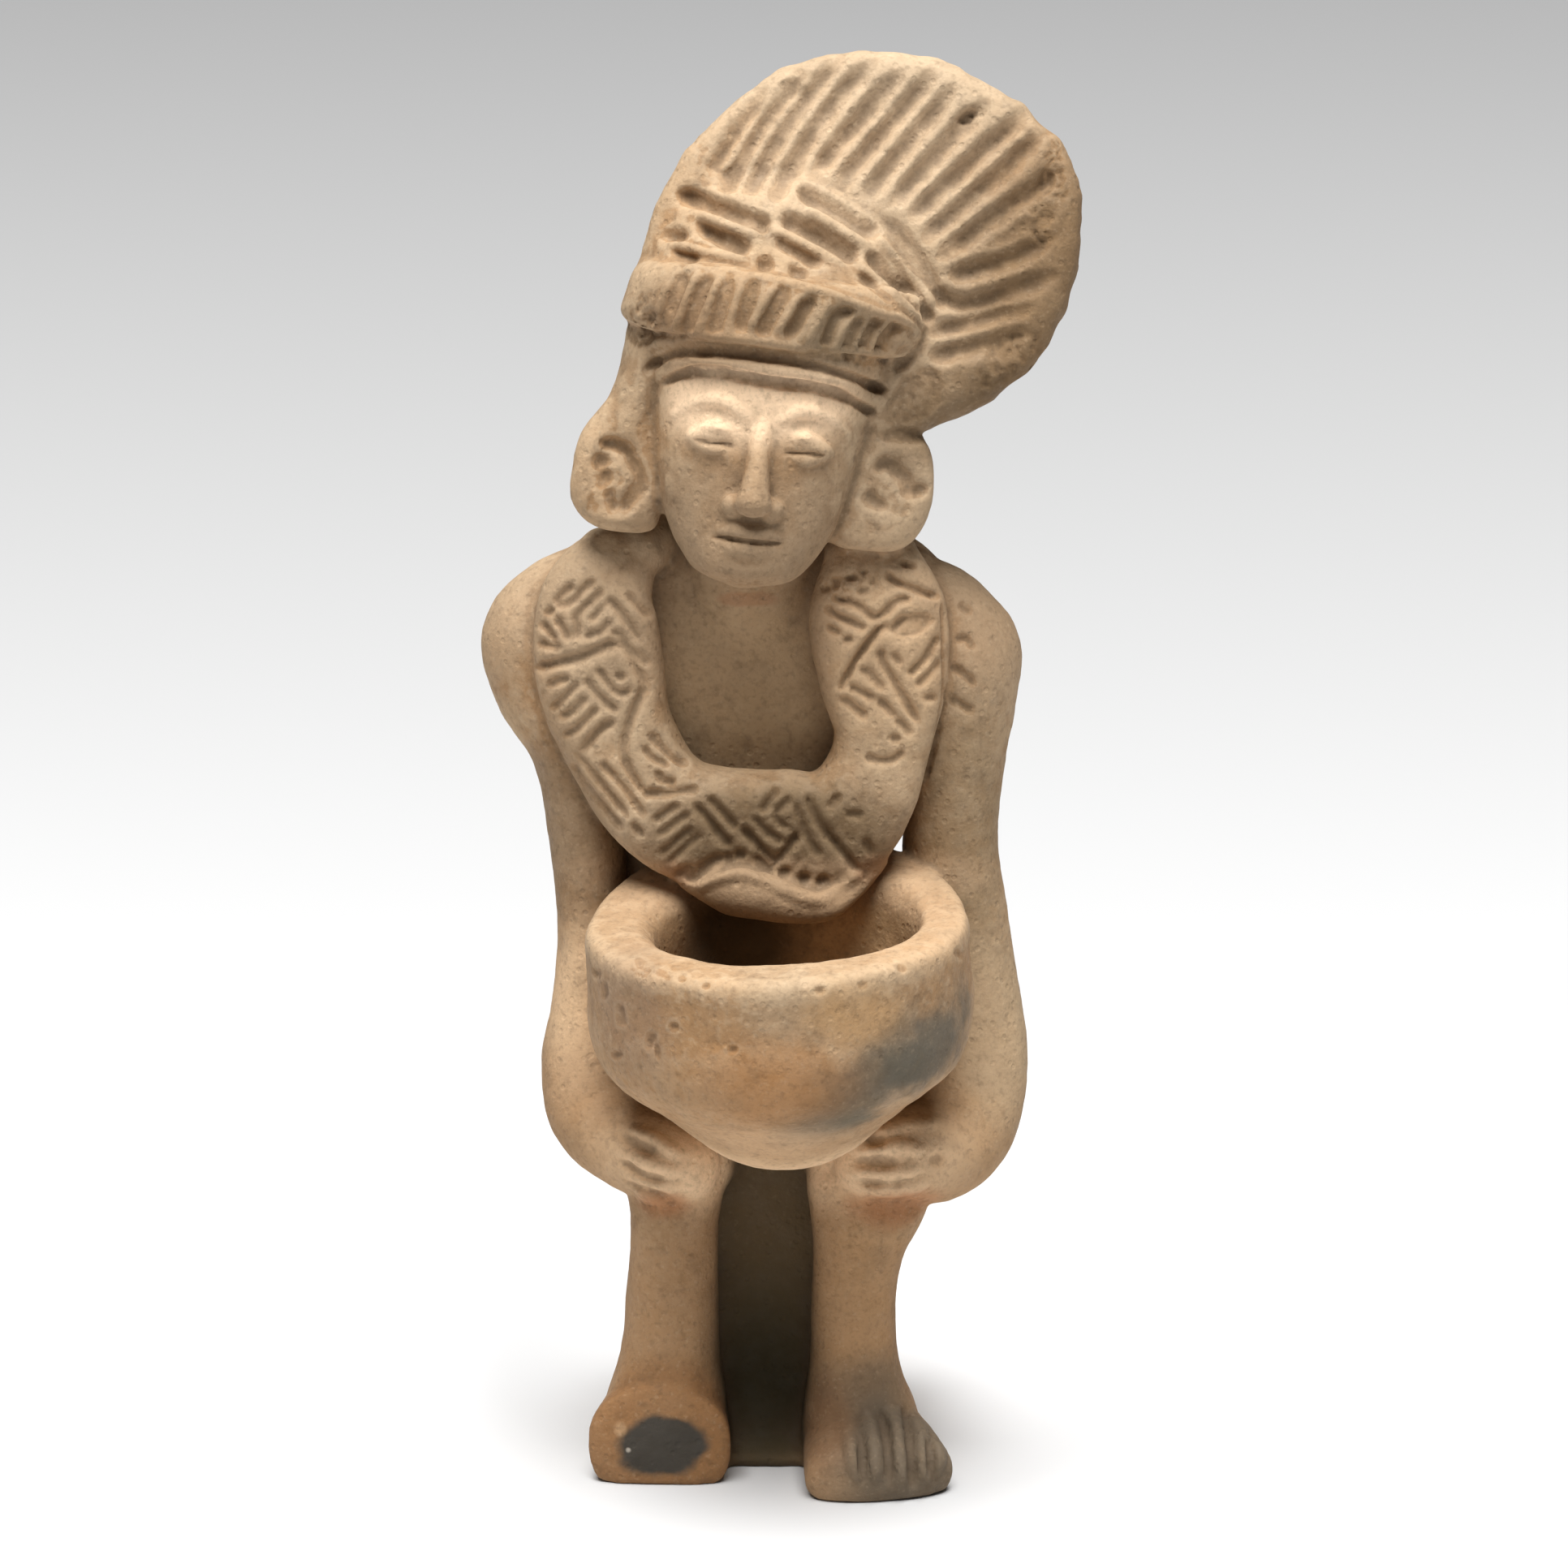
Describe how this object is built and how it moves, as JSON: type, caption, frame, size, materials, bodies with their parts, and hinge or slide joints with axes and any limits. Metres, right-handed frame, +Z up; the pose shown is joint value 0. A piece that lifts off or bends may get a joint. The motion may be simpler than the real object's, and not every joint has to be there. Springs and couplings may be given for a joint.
{
  "type": "seated clay figure with bowl",
  "caption": "Seated fired-clay figure with a tilted fan headdress, thick woven scarf and a deep round bowl held in its lap; one foot broken.",
  "frame": {"origin": "floor level, between the feet, on the figure's flat underside", "axes": "+Z up, the figure looks along -Y, its left-hand side in front view towards -X"},
  "size_m": [0.1149, 0.0984, 0.2749],
  "materials": {
    "fired_clay": "matt unglazed, hand-smoothed, worn, with grey fire clouds"
  },
  "bodies": {
    "root": {"clay_figure": "fired_clay"}
  },
  "joints": []
}
